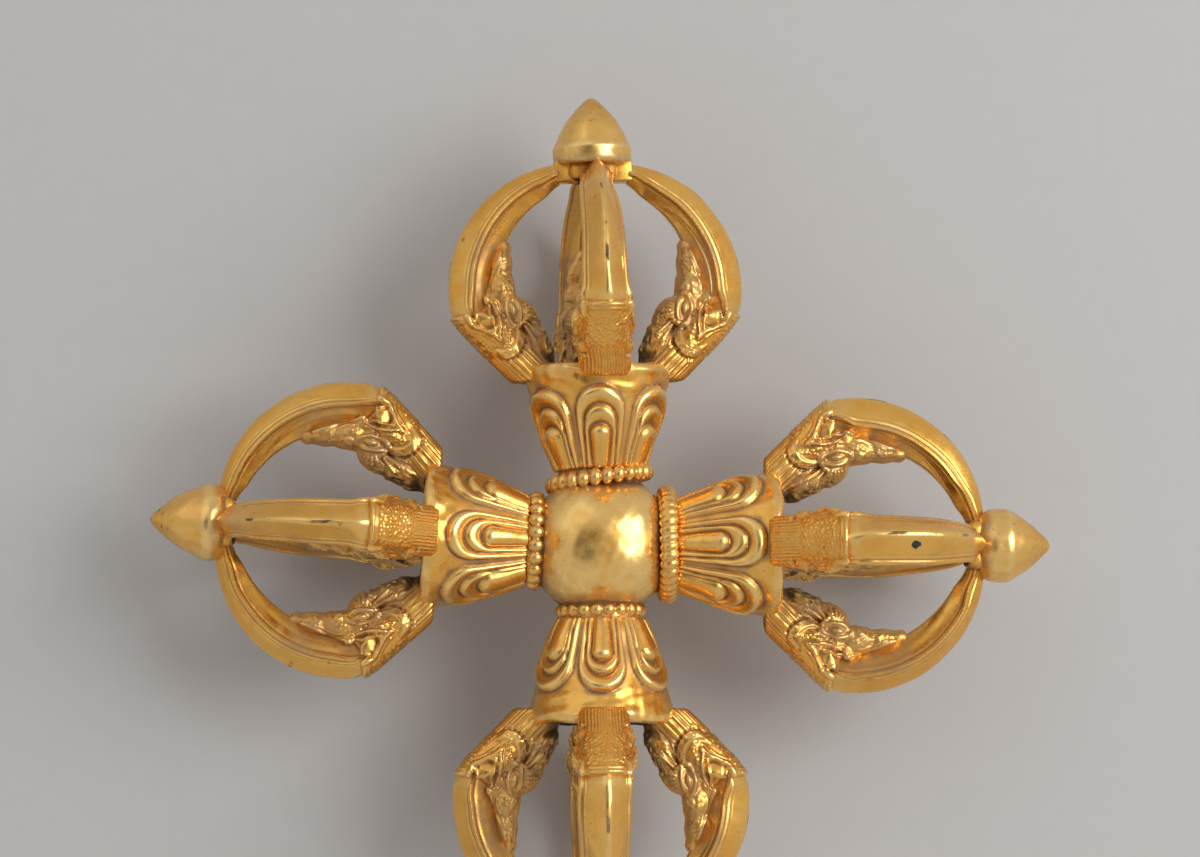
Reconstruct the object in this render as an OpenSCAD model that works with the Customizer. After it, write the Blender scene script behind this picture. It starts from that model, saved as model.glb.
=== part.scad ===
// Crossed dorje: four vajra heads set at right angles on a round hub, lying flat.
// Millimetres. The origin is the hub's centre, the cross lies in the XY plane and +Z is its front.
// Each arm is drawn along +X as distances s from the hub's centre, then turned to its place.

/* [Hub] */
// Radius of the round hub
hub_r = 14; // [12:0.1:18]
// Radius of the boss that carries a beaded collar
boss_r = 6.9; // [5.5:0.1:7.2]
// Depth of the socket for a spindle, from the end of the boss
socket_depth = 8.5; // [5:0.1:9]

/* [Beaded collars] */
// Radius of the circle through the bead centres
collar_r = 8.9; // [8.6:0.1:9.4]
// Radius of one bead
bead_r = 1.6; // [1.2:0.05:1.8]
// Beads in the collar of the east, north, west and south arm
bead_count = [30, 25, 22, 22]; // [18:1:32]
// Width of the band that the beads sit on
band_w = 2.2; // [1.6:0.1:2.6]

/* [Lotus calyxes] */
// Length of a calyx along its arm
calyx_len = 20.4; // [18:0.1:24]
// Radius at the collar end
calyx_neck_r = 9.7; // [9:0.1:10.5]
// Radius at the rim
calyx_rim_r = 15; // [14:0.1:17]
// Height of the plain band between the petals and the end face
rim_band = 2.6; // [2:0.1:4]
// Petals round a calyx
petal_count = 8; // [6:1:10]
// Swell of a petal's face between its ends
petal_swell = 0.6; // [0.2:0.1:1]
// Height of the outer, middle and inner layer of a petal above the flank
petal_lift = [0.35, 1, 1.6]; // [0.2:0.05:2]
// Depth of a petal's root under the flank
petal_root = 1.25; // [1:0.05:1.3]
// Width of each layer, as a share of the space for one petal
petal_share = [0.92, 0.6, 0.24]; // [0.1:0.01:0.92]
// Length of each layer, as a share of the petalled part
petal_reach = [1, 0.86, 0.7]; // [0.4:0.01:1]

/* [Spindles and finials] */
// Radius of the spindle's tang in hub and calyx
tang_r = 3; // [2:0.1:3.6]
// Radius of the spindle at its top
spindle_top_r = 2; // [1.4:0.1:2.8]
// Side of the square block that the prong tips butt against
block_side = 7.4; // [6.4:0.1:8]
// Radius of the peg that holds the finial
peg_r = 1.5; // [1:0.1:2]
// Length of that peg
peg_len = 6; // [4:0.1:8]
// Length of a finial
finial_len = 13; // [11:0.1:16]
// Largest radius of a finial
finial_r = 7.9; // [7.6:0.1:8.6]
// Radius at the foot of a finial
finial_foot_r = 7.5; // [7:0.1:7.6]
// Height of the shoulder, from the foot to the largest radius
finial_shoulder = 2.2; // [1.4:0.1:3]
// Swell of the finial's flank over a straight cone
finial_swell = 1.2; // [0.4:0.1:1.6]
// Radius of the blunt point
finial_point_r = 0.9; // [0.5:0.1:1.3]

/* [Prongs] */
// Largest radius of the cage of prongs about the arm
cage_r = 29.8; // [28.8:0.1:31]
// Length of the cage, from the calyx to the finial
cage_len = 41.7; // [40.5:0.1:43.5]
// Height of the outer arc's centre above the arm's axis
bow_rise = 3.8; // [3:0.1:4.6]
// Thickness of a blade at its widest, measured across the arm
blade_thick = 9.8; // [8.8:0.1:10.6]
// Width of the squared end of a blade
tab_w = 5.2; // [4.6:0.1:6]
// Length of the squared end of a blade
tab_len = 4.6; // [3:0.1:5.5]
// Thickness of a blade at its tip, measured along the arm
blade_tip = 4.3; // [3.5:0.1:5]
// Fall of the outer facets for each millimetre of half width
outer_fall = 0.98; // [0.8:0.01:1.2]
// Fall of the inner facets for each millimetre of half width
inner_fall = 1.16; // [0.9:0.01:1.4]
// Width of the flat along the inside of a blade
inner_flat = 1.6; // [0.6:0.1:2.4]

/* [Makara heads] */
// Lean of a head's axis away from the arm
head_lean = 45; // [43:1:47]
// Length of a head from its seat to the point of the jaw
head_len = 17.4; // [16.6:0.1:18.2]
// Distance of the head's axis from the arm, at the seat
head_foot_r = 12.7; // [12.4:0.1:13.4]
// Distance of that point below the calyx's end face
seat_drop = 0.6; // [0.2:0.1:1]
// Radius of the ribbed neck
neck_r = 4.8; // [4.4:0.1:5.1]
// Length of the ribbed neck
neck_len = 4.8; // [4:0.1:5.4]
// Swell of the dotted throat over the neck
throat_swell = 0.9; // [0.5:0.1:1]
// Radius of a head at the point of the jaw
jaw_r = 5; // [4.7:0.1:5.2]
// Ribs round the neck
rib_count = 16; // [10:1:20]
// Radius of one rib
rib_r = 0.45; // [0.3:0.05:0.55]
// Radius of the crescent behind a cheek
crescent_r = 3.6; // [3.2:0.1:4]
// Thickness of that crescent
crescent_t = 1.5; // [1:0.1:1.8]
// Height of that crescent above the head
crescent_h = 0.7; // [0.4:0.1:0.9]
// Half angle of the open mouth
gape = 23; // [19:1:27]
// Width of the tongue that fills the middle of the mouth
tongue_w = 5; // [4:0.1:6]
// Height of the lips above the head
lip_h = 0.5; // [0.3:0.1:0.8]
// Width of the lips
lip_w = 0.9; // [0.6:0.1:1.2]
// Radius of the ring's wire round an eye
eye_ring_r = 0.45; // [0.3:0.05:0.6]
// Radius of an eye
eye_r = 1.2; // [0.9:0.1:1.5]
// Radius of a tusk
tusk_r = 1.4; // [1:0.1:1.6]
// Radius of a leaf of the mane
leaf_r = 2.4; // [2:0.1:2.7]
// Radius of the snout at the brow
snout_r = 2.5; // [2.2:0.1:2.8]
// Radius of the knob on the nose
nose_r = 1.6; // [1.4:0.1:1.9]
// Radius of the tenon that holds a prong in its calyx
tenon_r = 2.2; // [1.6:0.1:2.6]
// Length of that tenon
tenon_len = 6; // [4:0.1:6.5]

/* [Assembly] */
// Clearance between a piece and what it seats on
seat_gap = 0.05; // [0.02:0.01:0.1]
// Gap between the beads and the hub
bead_gap = 0.3; // [0.2:0.05:0.6]
// Angle of the east, north, west and south arm about Z
arm_turn = [0, 91.3, 176.8, 270]; // [0:0.1:360]
// Twist of the prongs of the east, north, west and south arm about their arm
prong_twist = [0, 5, 0, 0]; // [-10:0.5:10]

/* [Hidden] */
ARMS = ["east", "north", "west", "south"];
STATIONS = ["front", "left", "back", "right"];
$fn = 48;
gold = "goldenrod";
old_gold = "darkgoldenrod";

// Stations along an arm, from the hub outwards
collar_s = sqrt(pow(hub_r + bead_r + bead_gap, 2) - pow(collar_r, 2));
boss_s = collar_s + bead_r;
calyx_s = boss_s + seat_gap;
calyx_end_s = calyx_s + calyx_len;
finial_s = calyx_end_s + cage_len;
petal_end_s = calyx_end_s - rim_band;
// A boss starts inside the hub, clear of the neighbouring bosses
boss_root_s = (boss_r + hub_r) / 2;
// Lean of the calyx's flank
flank_lean = atan2(calyx_rim_r - calyx_neck_r, petal_end_s - calyx_s);

// Arcs of the blade, both centred at bow_s along the arm
tip_r = block_side / 2 + seat_gap;
bow_r = cage_r - bow_rise;
bow_s = finial_s - seat_gap - sqrt(pow(bow_r, 2) - pow(tip_r - bow_rise, 2));
crown_r = cage_r - blade_thick;
tip_s = finial_s - seat_gap - blade_tip;
inner_rise = (pow(crown_r, 2) - pow(tip_s - bow_s, 2) - pow(tip_r, 2)) / (2 * (crown_r - tip_r));
inner_bow_r = crown_r - inner_rise;
blade_reach = 2 * blade_thick;
tab_drop = 0.15;

// The head's axis starts at the seat facet, just under the calyx's end face
head_s = calyx_end_s - seat_drop;
// Places of the features in the head's frame: x towards the arm, z from the seat
mouth_x = -0.9;
mouth_z = neck_len + 3.4;
jaw_z = head_len - 0.3;
// Depth of the tongue below the corner of the mouth
tongue_drop = 1.3;
// Depth by which the blade's root is let into the lower jaw
root_bite = 0.2;
eye_yaw = 42;
eye_out = neck_r + throat_swell - 0.3;
eye_z = 11.2;
tusk_x = 3.5;
tusk_y = 3.1;
leaf_x = [4.1, 5.6, 5.8];
leaf_first_z = 3;
leaf_step = 4.5;
// The snout runs from the brow to the nose, in the arm's frame
brow_s = bow_s - 3.2;
brow_r = crown_r - 1.6;
nose_s = bow_s + 8.4;
nose_up = 0.5;
big = 4 * cage_r;

// A circle through points a and b that swells by h between them: [centre x, centre y, radius]
function swell_circle(a, b, h) =
    let (
        chord = norm(b - a),
        radius = (chord * chord / 4 + h * h) / (2 * h),
        normal = [b.y - a.y, a.x - b.x] / chord,
        centre = (a + b) / 2 - normal * (radius - h)
    )
    [centre.x, centre.y, radius];

// A profile of [radius, s] turned about the arm
module turned() {
    rotate([0, 90, 0]) rotate_extrude() children();
}

// The region inside a swelling flank from a to b, down to the radius core
module swelling_profile(a, b, h, core) {
    arc = swell_circle(a, b, h);
    intersection() {
        translate([arc[0], arc[1]]) circle(r = arc[2], $fn = 240);
        translate([core, a.y]) square([big, b.y - a.y]);
    }
}

module on_arm(i) {
    rotate([0, 0, arm_turn[i]]) children();
}

// A part drawn above the arm in the XZ plane, turned to station k of arm i
module at_station(i, k) {
    on_arm(i) rotate([prong_twist[i] - 90 * k, 0, 0]) children();
}

// The head's own frame: Z along its axis from the seat, X towards the arm, Y across
module in_head() {
    translate([head_s, 0, head_foot_r]) rotate([0, head_lean, 0]) children();
}

module hub() {
    color(gold) difference() {
        union() {
            sphere(r = hub_r, $fn = 96);
            for (i = [0:3]) on_arm(i) translate([boss_root_s, 0, 0]) rotate([0, 90, 0])
                cylinder(r = boss_r, h = boss_s - boss_root_s);
        }
        for (i = [0:3]) on_arm(i)
            translate([boss_s - socket_depth, 0, 0]) rotate([0, 90, 0])
                cylinder(r = tang_r + seat_gap, h = big);
    }
}

module beaded_collar(i) {
    color(gold) on_arm(i) translate([collar_s, 0, 0]) rotate([0, 90, 0]) difference() {
        union() {
            cylinder(r = collar_r, h = band_w, center = true);
            for (k = [0 : bead_count[i] - 1])
                rotate([0, 0, 360 * k / bead_count[i]]) translate([collar_r, 0, 0]) sphere(r = bead_r, $fn = 24);
        }
        cylinder(r = boss_r + seat_gap, h = big, center = true);
    }
}

// One layer of the petals: arches raised from the flank, under a swelling face
module petal_layer(j) {
    lift = petal_lift[j];
    neck = [calyx_neck_r + lift, calyx_s];
    top = [calyx_rim_r + lift, petal_end_s];
    flank = norm(top - neck);
    length = petal_reach[j] * flank;
    half_angle = 180 / petal_count;
    foot_w = petal_share[j] * calyx_neck_r * sin(half_angle);
    top_w = petal_share[j] * calyx_rim_r * sin(half_angle);
    intersection() {
        turned() swelling_profile(neck, top, petal_swell, boss_r);
        for (k = [0 : petal_count - 1])
            rotate([360 * k / petal_count, 0, 0]) translate([calyx_s, 0, calyx_neck_r])
                rotate([0, -flank_lean, 0]) translate([0, 0, -petal_root]) linear_extrude(4 * petal_root) {
                    polygon([[-2, -foot_w], [-2, foot_w], [length - top_w, top_w], [length - top_w, -top_w]]);
                    translate([length - top_w, 0]) circle(r = top_w);
                }
    }
}

module lotus_calyx(i) {
    color(old_gold) on_arm(i) difference() {
        union() {
            turned() polygon([
                [0, calyx_s], [calyx_neck_r, calyx_s], [calyx_rim_r, petal_end_s],
                [calyx_rim_r, calyx_end_s], [0, calyx_end_s]
            ]);
            for (j = [0:2]) petal_layer(j);
        }
        rotate([0, 90, 0]) cylinder(r = tang_r + seat_gap, h = big);
        for (k = [0:3]) rotate([prong_twist[i] - 90 * k, 0, 0]) in_head() {
            translate([-big / 2, -big / 2, -seat_gap]) cube([big, big, big]);
            translate([0, 0, -tenon_len - seat_gap]) cylinder(r = tenon_r + seat_gap, h = big);
        }
    }
}

module spindle(i) {
    tang_s = boss_s - socket_depth + seat_gap;
    color(old_gold) at_station(i, 0) {
        turned() polygon([
            [0, tang_s], [tang_r, tang_s], [tang_r, calyx_end_s],
            [spindle_top_r, tip_s + 1], [0, tip_s + 1]
        ]);
        translate([tip_s, -block_side / 2, -block_side / 2]) cube([blade_tip, block_side, block_side]);
        translate([tip_s, 0, 0]) rotate([0, 90, 0])
            cylinder(r = peg_r, h = finial_s + peg_len - seat_gap - tip_s);
    }
}

module finial(i) {
    shoulder_s = finial_s + finial_shoulder;
    end_s = finial_s + finial_len;
    cap_r = 1.5 * finial_point_r;
    point_s = end_s - 0.35 * finial_point_r;
    color(gold) on_arm(i) difference() {
        turned() {
            swelling_profile([finial_r, shoulder_s], [finial_point_r, point_s], finial_swell, 0);
            polygon([[0, finial_s], [finial_foot_r, finial_s], [finial_r, shoulder_s], [0, shoulder_s]]);
            translate([0, end_s - cap_r]) intersection() {
                circle(r = cap_r);
                translate([0, -big / 2]) square(big);
            }
        }
        rotate([0, 90, 0]) cylinder(r = peg_r + seat_gap, h = finial_s + peg_len);
    }
}

// The blade: the lune between two coned wheels, with a ridge along its back
module blade() {
    w = blade_reach;
    f = inner_flat / 2;
    difference() {
        translate([bow_s, 0, bow_rise]) rotate([90, 0, 0]) rotate_extrude($fn = 180)
            polygon([[0, -w], [bow_r - outer_fall * w, -w], [bow_r, 0], [bow_r - outer_fall * w, w], [0, w]]);
        translate([bow_s, 0, inner_rise]) rotate([90, 0, 0]) rotate_extrude($fn = 180)
            polygon([
                [0, -w], [inner_bow_r + inner_fall * (w - f), -w], [inner_bow_r, -f],
                [inner_bow_r, f], [inner_bow_r + inner_fall * (w - f), w], [0, w]
            ]);
        translate([-big / 2, -big / 2, tip_r - big]) cube([big * 2, big, big]);
        in_head() translate([-root_bite, 0, -root_bite]) rotate([90, 0, 0]) linear_extrude(big, center = true)
            polygon([
                [-big, -big], [big, -big], [big, mouth_z], [mouth_x, mouth_z],
                [mouth_x - (jaw_z - mouth_z) * tan(gape), jaw_z], [-big, jaw_z]
            ]);
    }
}

// Neck and throat in one turned body, thicker by lift
module barrel(lift) {
    cylinder(r = neck_r + lift, h = neck_len + 0.5);
    rotate_extrude()
        swelling_profile([neck_r + lift, neck_len], [jaw_r + lift, head_len], throat_swell, 0);
}

// The open mouth as a wedge across the head, grown by g
module mouth(g) {
    reach = 2 * head_len;
    rotate([90, 0, 0]) linear_extrude(4 * neck_r, center = true)
        translate([mouth_x, mouth_z - g / sin(gape)])
            polygon([[0, 0], [reach * tan(gape), reach], [-reach * tan(gape), reach]]);
}

// The tongue stands between the jaws and closes the mouth in the middle
module tongue() {
    translate([mouth_x - tongue_drop, -tongue_w / 2, 0]) cube([big, tongue_w, big]);
}

module lips() {
    difference() {
        intersection() {
            barrel(lip_h);
            mouth(lip_w);
        }
        mouth(0);
        translate([0, 0, neck_len - big]) cylinder(r = big, h = big);
    }
}

// A raised band round the back of each cheek
module crescents() {
    intersection() {
        barrel(crescent_h);
        rotate([90, 0, 0]) linear_extrude(4 * neck_r, center = true) translate([mouth_x, mouth_z])
            difference() {
                circle(r = crescent_r);
                circle(r = crescent_r - crescent_t);
                translate([-big / 2, 0.6]) square(big);
            }
    }
}

module eyes() {
    for (side = [-1, 1]) rotate([0, 0, side * eye_yaw]) translate([eye_out, 0, eye_z]) {
        sphere(r = eye_r);
        rotate([0, 90, 0]) rotate_extrude() translate([eye_r + 1.3 * eye_ring_r, 0]) circle(r = eye_ring_r);
    }
}

// A curled tusk at the end of each upper lip
module tusks() {
    for (side = [-1, 1]) translate([tusk_x, side * tusk_y, head_len - 0.4]) sphere(r = tusk_r);
}

// Three pairs of leaves down the inner side of the head
module mane() {
    for (side = [-1, 1], step = [0:2])
        translate([leaf_x[step], side * (leaf_r - 0.3), leaf_first_z + leaf_step * step])
            sphere(r = leaf_r);
}

module ribs() {
    for (k = [0 : rib_count - 1])
        rotate([0, 0, 360 * (k + 0.5) / rib_count]) translate([neck_r - 0.05, 0, 0.3])
            cylinder(r = rib_r, h = neck_len - 0.6, $fn = 16);
}

// The upper jaw, lying along the inside of the blade and ending in a knob
module snout() {
    run = nose_s - brow_s;
    translate([brow_s, 0, brow_r]) rotate([0, 90 - atan2(nose_up, run), 0])
        cylinder(r1 = snout_r, r2 = nose_r - 0.35, h = norm([run, nose_up]));
    translate([nose_s, 0, brow_r + nose_up]) sphere(r = nose_r);
}

// A squared end that meets the spindle's block
module tip_tab() {
    translate([tip_s, -tab_w / 2, tip_r]) cube([finial_s - seat_gap - tab_drop - tip_s, tab_w, tab_len]);
}

module head() {
    in_head() {
        difference() {
            barrel(0);
            difference() {
                mouth(0);
                tongue();
            }
        }
        lips();
        crescents();
        eyes();
        tusks();
        mane();
        ribs();
        translate([0, 0, -tenon_len]) cylinder(r = tenon_r, h = tenon_len + 1);
    }
    snout();
}

module prong(i, k) {
    color(gold) at_station(i, k) {
        blade();
        tip_tab();
        head();
    }
}

hub();
for (i = [0:3]) {
    beaded_collar(i);
    lotus_calyx(i);
    spindle(i);
    finial(i);
    for (k = [0:3])
        prong(i, k);
}
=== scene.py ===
import math
from functools import partial

import bmesh
import bpy
import numpy as np
from mathutils import Euler, Matrix, Vector


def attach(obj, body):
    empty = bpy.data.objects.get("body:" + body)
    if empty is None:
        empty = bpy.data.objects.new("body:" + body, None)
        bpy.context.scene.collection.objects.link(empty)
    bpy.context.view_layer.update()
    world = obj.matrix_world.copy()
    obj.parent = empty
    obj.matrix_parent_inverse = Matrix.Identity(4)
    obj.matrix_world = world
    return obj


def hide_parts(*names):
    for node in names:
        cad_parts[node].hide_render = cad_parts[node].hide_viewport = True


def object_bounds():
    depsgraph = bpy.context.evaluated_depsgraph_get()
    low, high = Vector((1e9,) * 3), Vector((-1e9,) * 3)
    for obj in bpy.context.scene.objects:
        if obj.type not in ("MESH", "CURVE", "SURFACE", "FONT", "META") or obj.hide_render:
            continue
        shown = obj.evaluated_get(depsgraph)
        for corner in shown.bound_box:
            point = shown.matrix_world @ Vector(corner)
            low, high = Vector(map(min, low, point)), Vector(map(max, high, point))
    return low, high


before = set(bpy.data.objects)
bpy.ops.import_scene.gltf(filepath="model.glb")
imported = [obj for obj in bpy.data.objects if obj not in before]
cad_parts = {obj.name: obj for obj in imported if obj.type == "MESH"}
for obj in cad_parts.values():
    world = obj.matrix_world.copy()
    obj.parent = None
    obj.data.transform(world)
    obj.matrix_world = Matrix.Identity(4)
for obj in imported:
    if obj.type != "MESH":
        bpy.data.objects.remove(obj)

bl_info = {
    "name": "Crossed Dorje Vajra",
    "version": (1, 0, 0),
    "blender": (4, 5, 0),
    "location": "View3D > Sidebar > Vajra",
    "description": "Dresses the crossed vajra's solids as chased and gilded metal",
    "category": "Object",
}

CAD_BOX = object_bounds()
MM = 0.001
ARMS = ("east", "north", "west", "south")
STATIONS = ("front", "left", "back", "right")


# ---- properties

def number(name, description, default, **shown):
    """A number among the settings, as Blender shows it."""
    return bpy.props.FloatProperty(name=name, description=description, default=default, **shown)


def numbers(name, description, default, **shown):
    """A row of numbers among the settings, as Blender shows it."""
    return bpy.props.FloatVectorProperty(name=name, description=description, default=default,
                                         size=len(default), **shown)


length = partial(number, unit="LENGTH", subtype="DISTANCE", precision=5)
share = partial(number, min=0.0, max=1.0, subtype="FACTOR")
power = partial(number, unit="POWER")
angle = partial(number, unit="ROTATION", subtype="ANGLE")
angles = partial(numbers, subtype="EULER")
tint = partial(numbers, min=0.0, max=1.0, subtype="COLOR")


class VajraSizes(bpy.types.PropertyGroup):
    """Sizes of the pieces, the same as in the part's source."""

    arm_turn: angles("Arm turn", "Turn of the east, north, west and south arm about Z",
                     [math.radians(a) for a in (0.0, 91.3, 176.8, 270.0)])
    prong_twist: angles("Prong twist", "Twist of each arm's prongs about their arm",
                        [math.radians(a) for a in (0.0, 5.0, 0.0, 0.0)])
    hub_r: length("Hub radius", "Radius of the hub towards an arm", 0.0139)
    collar_s: length("Collar station", "Distance of a collar from the hub's centre", 0.01318)
    collar_r: length("Collar radius", "Radius of the circle through the beads", 0.0089)
    bead_r: length("Bead radius", "Radius of one bead", 0.0016)
    calyx_s: length("Calyx foot", "Distance of a calyx's foot from the hub's centre", 0.01483)
    calyx_end: length("Calyx end", "Distance of a calyx's end face from the hub's centre", 0.03523)
    calyx_neck_r: length("Calyx neck radius", "Radius of a calyx at its foot", 0.0097)
    calyx_rim_r: length("Calyx rim radius", "Radius of a calyx at its rim", 0.015)
    finial_s: length("Finial foot", "Distance of a finial's foot from the hub's centre", 0.07693)
    finial_len: length("Finial length", "Height of a finial", 0.01298)
    finial_r: length("Finial radius", "Largest radius of a finial", 0.0079)
    head_voxel: length("Head grain", "Grain of the modelled makara heads", 0.00022)


class VajraGilding(bpy.types.PropertyGroup):
    """Colours and gloss of the gilding."""

    gold: tint("Gold", "Clean gilding", (0.93, 0.51, 0.108))
    deep_gold: tint("Deep gold", "Gilding where it lies thick", (0.87, 0.43, 0.070))
    bare_brass: tint("Worn gold", "Rubbed gilding on the high edges", (1.0, 0.70, 0.27))
    grime: tint("Grime", "Brown dirt in the hollows", (0.12, 0.060, 0.030))
    haze: tint("Haze", "Dull mauve tarnish beside the hollows", (0.30, 0.19, 0.125))
    # Soot also serves as painted shade on the prongs' faces turned in towards the arm's axis.
    soot: tint("Soot", "Blackened metal inside the cages", (0.018, 0.013, 0.010))
    green: tint("Verdigris", "Green corrosion on one blade", (0.012, 0.035, 0.022))
    red: tint("Red bole", "Red ground that shows through worn gilding", (0.42, 0.09, 0.03))
    polish: share("Roughness", "Roughness of the clean gilding", 0.22)


class VajraStudio(bpy.types.PropertyGroup):
    """The floor, the lamps and the camera."""

    floor: tint("Floor", "Colour of the floor", (0.52, 0.505, 0.495))
    overhead: tint("Overhead", "Dim part of the room behind the camera", (0.13, 0.127, 0.124))
    room: tint("Room", "Pale walls of the room", (0.56, 0.555, 0.55))
    key_watts: power("Key", "Power of the key lamp", 8.0)
    fill_watts: power("Fill", "Power of the fill lamp", 1.5)
    distance: length("Camera distance", "Distance of the camera from its aim", 1.0)
    aim_y: length("Aim", "Height of the aim above the hub in the picture", 0.0233)
    tilt: angle("Tilt", "Lean of the view off the vertical", math.radians(4.5))
    lean: angle("Lean", "Lean of the view towards the west arm", math.radians(-2.2))


# ---- mesh helpers

def smooth_step(low, high, value):
    """0 up to the low end, 1 from the high end on, and smooth in between."""
    t = np.clip((value - low) / (high - low), 0.0, 1.0)
    return t * t * (3.0 - 2.0 * t)


def between(rise, fall, value):
    """1 between a smooth rise and a smooth fall, each given by its two ends."""
    return smooth_step(*rise, value) * smooth_step(*fall, value)


def hump(gap, half_width):
    """A rounded swelling, 1 in its middle and 0 from the half width on."""
    return np.clip(1.0 - (gap / half_width) ** 2, 0.0, None)


def chance(a, b, seed):
    """A repeatable number from 0 to 1 for each pair of whole numbers."""
    value = np.sin(a * 127.1 + b * 311.7 + seed * 74.7) * 43758.5453
    return value - np.floor(value)


def wander(points, size, seed):
    """A slow, smooth unevenness from -1 to 1, with features of about the given size."""
    rng = np.random.default_rng(seed)
    total = np.zeros(len(points))
    for _ in range(6):
        way = rng.normal(size=3)
        way *= 2.0 * math.pi / (size * rng.uniform(0.7, 1.6) * np.linalg.norm(way))
        total += np.sin(points @ way + rng.uniform(0.0, 6.28))
    return total / 3.5


def stroke(u, v, path, half_width, height):
    """A rounded ridge of the given height along a path of (u, v) points."""
    gap = np.full(u.shape, np.inf)
    for (au, av), (bu, bv) in zip(path[:-1], path[1:]):
        du, dv = bu - au, bv - av
        t = np.clip(((u - au) * du + (v - av) * dv) / (du * du + dv * dv), 0.0, 1.0)
        gap = np.minimum(gap, np.hypot(u - au - t * du, v - av - t * dv))
    return height * hump(gap, half_width)


def oval(u, v, centre, half_u, half_v, lean):
    """How far points lie from the centre of a leaning oval, as a share: 1 on its rim."""
    du, dv = u - centre[0], v - centre[1]
    c, s = math.cos(lean), math.sin(lean)
    return np.hypot((du * c + dv * s) / half_u, (dv * c - du * s) / half_v)


def knob(u, v, centre, half_u, half_v, lean, height):
    """A rounded oval boss, or a hollow where the height is below 0."""
    return height * np.sqrt(hump(oval(u, v, centre, half_u, half_v, lean), 1.0))


def oval_ring(u, v, centre, half_u, half_v, lean, half_width, height):
    """A raised wire round an oval."""
    gap = (oval(u, v, centre, half_u, half_v, lean) - 1.0) * min(half_u, half_v)
    return height * hump(gap, half_width)


def dots(u, v, pitch, radius, seed):
    """Punched dots at uneven places, 1 at the middle of each."""
    uneven = 0.75 * pitch
    row = np.floor(v / pitch)
    total = np.zeros(u.shape)
    for dr in (-1, 0, 1):
        r = row + dr
        shift = 0.5 * (r % 2)
        column = np.floor(u / pitch - shift)
        for dc in (-1, 0, 1):
            c = column + dc
            cu = (c + 0.5 + shift) * pitch + uneven * (chance(c, r, seed) - 0.5)
            cv = (r + 0.5) * pitch + uneven * (chance(c, r, seed + 9) - 0.5)
            size = radius * (0.6 + 0.7 * chance(c, r, seed + 5))
            total = np.maximum(total, hump(np.hypot(u - cu, v - cv), size))
    return total


def rows_of(items, key):
    """Three numbers kept for each item, a row for each."""
    flat = np.empty(len(items) * 3)
    items.foreach_get(key, flat)
    return flat.reshape(-1, 3)


def points_of(mesh):
    return rows_of(mesh.vertices, "co")


def normals_of(mesh):
    return rows_of(mesh.vertex_normals, "vector")


def set_points(mesh, points):
    mesh.vertices.foreach_set("co", np.ascontiguousarray(points, dtype=np.float64).ravel())
    mesh.update()


def smoothed(mesh, points, rounds):
    """The points after some rounds of moving each to the middle of its neighbours."""
    ends = np.empty(len(mesh.edges) * 2, dtype=np.int32)
    mesh.edges.foreach_get("vertices", ends)
    a, b = ends[0::2], ends[1::2]
    count = len(points)
    near = np.maximum(np.bincount(a, minlength=count) + np.bincount(b, minlength=count), 1)
    for _ in range(rounds):
        points = np.stack([
            (np.bincount(a, points[b, k], count) + np.bincount(b, points[a, k], count)) / near
            for k in range(3)], axis=1)
    return points


def mark(mesh, name, values):
    """Keep a value for each point, for the gilding to read."""
    layer = mesh.attributes.new(name, "FLOAT", "POINT")
    layer.data.foreach_set("value", np.clip(values, 0.0, 1.0).astype(np.float32))


def mark_hollows(mesh, rounds, reach):
    """Find the hollows and the high edges: points below and above their surroundings."""
    points = points_of(mesh)
    depth = ((smoothed(mesh, points, rounds) - points) * normals_of(mesh)).sum(axis=1) / reach
    mark(mesh, "hollow", depth)
    mark(mesh, "edge", -depth)


def mesh_from(bm, name):
    """A welded, smooth-shaded mesh with its normals outward."""
    bmesh.ops.remove_doubles(bm, verts=bm.verts, dist=1e-4)
    bmesh.ops.recalc_face_normals(bm, faces=bm.faces)
    mesh = bpy.data.meshes.new(name)
    bm.to_mesh(mesh)
    bm.free()
    mesh.shade_smooth()
    return mesh


def bent_grid(name, columns, rows, place):
    """A grid bent into a shell by place(u, v), with its seam and ends welded."""
    bm = bmesh.new()
    bmesh.ops.create_grid(bm, x_segments=columns, y_segments=rows, size=0.5)
    spots = np.array([vert.co[:2] for vert in bm.verts]) + 0.5
    for vert, spot in zip(bm.verts, place(spots[:, 0], spots[:, 1])):
        vert.co = spot
    return mesh_from(bm, name)


def turned(s, r, angle):
    """Points at heights s and radii r round the arm's axis, from the front one on."""
    return np.stack([s, -r * np.sin(angle), r * np.cos(angle)], axis=1)


def rounded_box(bm, ends, rise, wide, tall, rounding, segments):
    """A box with rounded edges between two stations of the arm."""
    place = Matrix.Translation((0.5 * (ends[0] + ends[1]), 0.0, rise))
    place = place @ Matrix.Diagonal((ends[1] - ends[0], wide, tall, 1.0))
    bmesh.ops.create_cube(bm, size=1.0, matrix=place)
    bmesh.ops.bevel(bm, geom=bm.edges[:], offset=rounding, offset_type="OFFSET", segments=segments,
                    profile=0.5, affect="EDGES", material=-1)


def along(v, stations):
    """Points on a polyline of (s, r) stations, at shares v of its length."""
    stations = np.asarray(stations, dtype=float)
    steps = np.concatenate([[0.0], np.cumsum(np.hypot(*np.diff(stations, axis=0).T))])
    run = v * steps[-1]
    return np.interp(run, steps, stations[:, 0]), np.interp(run, steps, stations[:, 1])


def rounded(stations, reach):
    """The same polyline with its corners rounded off over a reach."""
    line = np.stack(along(np.linspace(0.0, 1.0, 500), stations), axis=1)
    half = max(1, int(reach / np.hypot(*np.diff(line, axis=0).T).mean() / 2.0))
    weights = np.hanning(2 * half + 3)[1:-1]
    ends = ((half, half), (0, 0))
    padded = np.pad(line, ends, mode="reflect", reflect_type="odd")
    weights /= weights.sum()
    return np.stack([np.convolve(padded[:, k], weights, "valid") for k in range(2)], axis=1)


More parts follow.
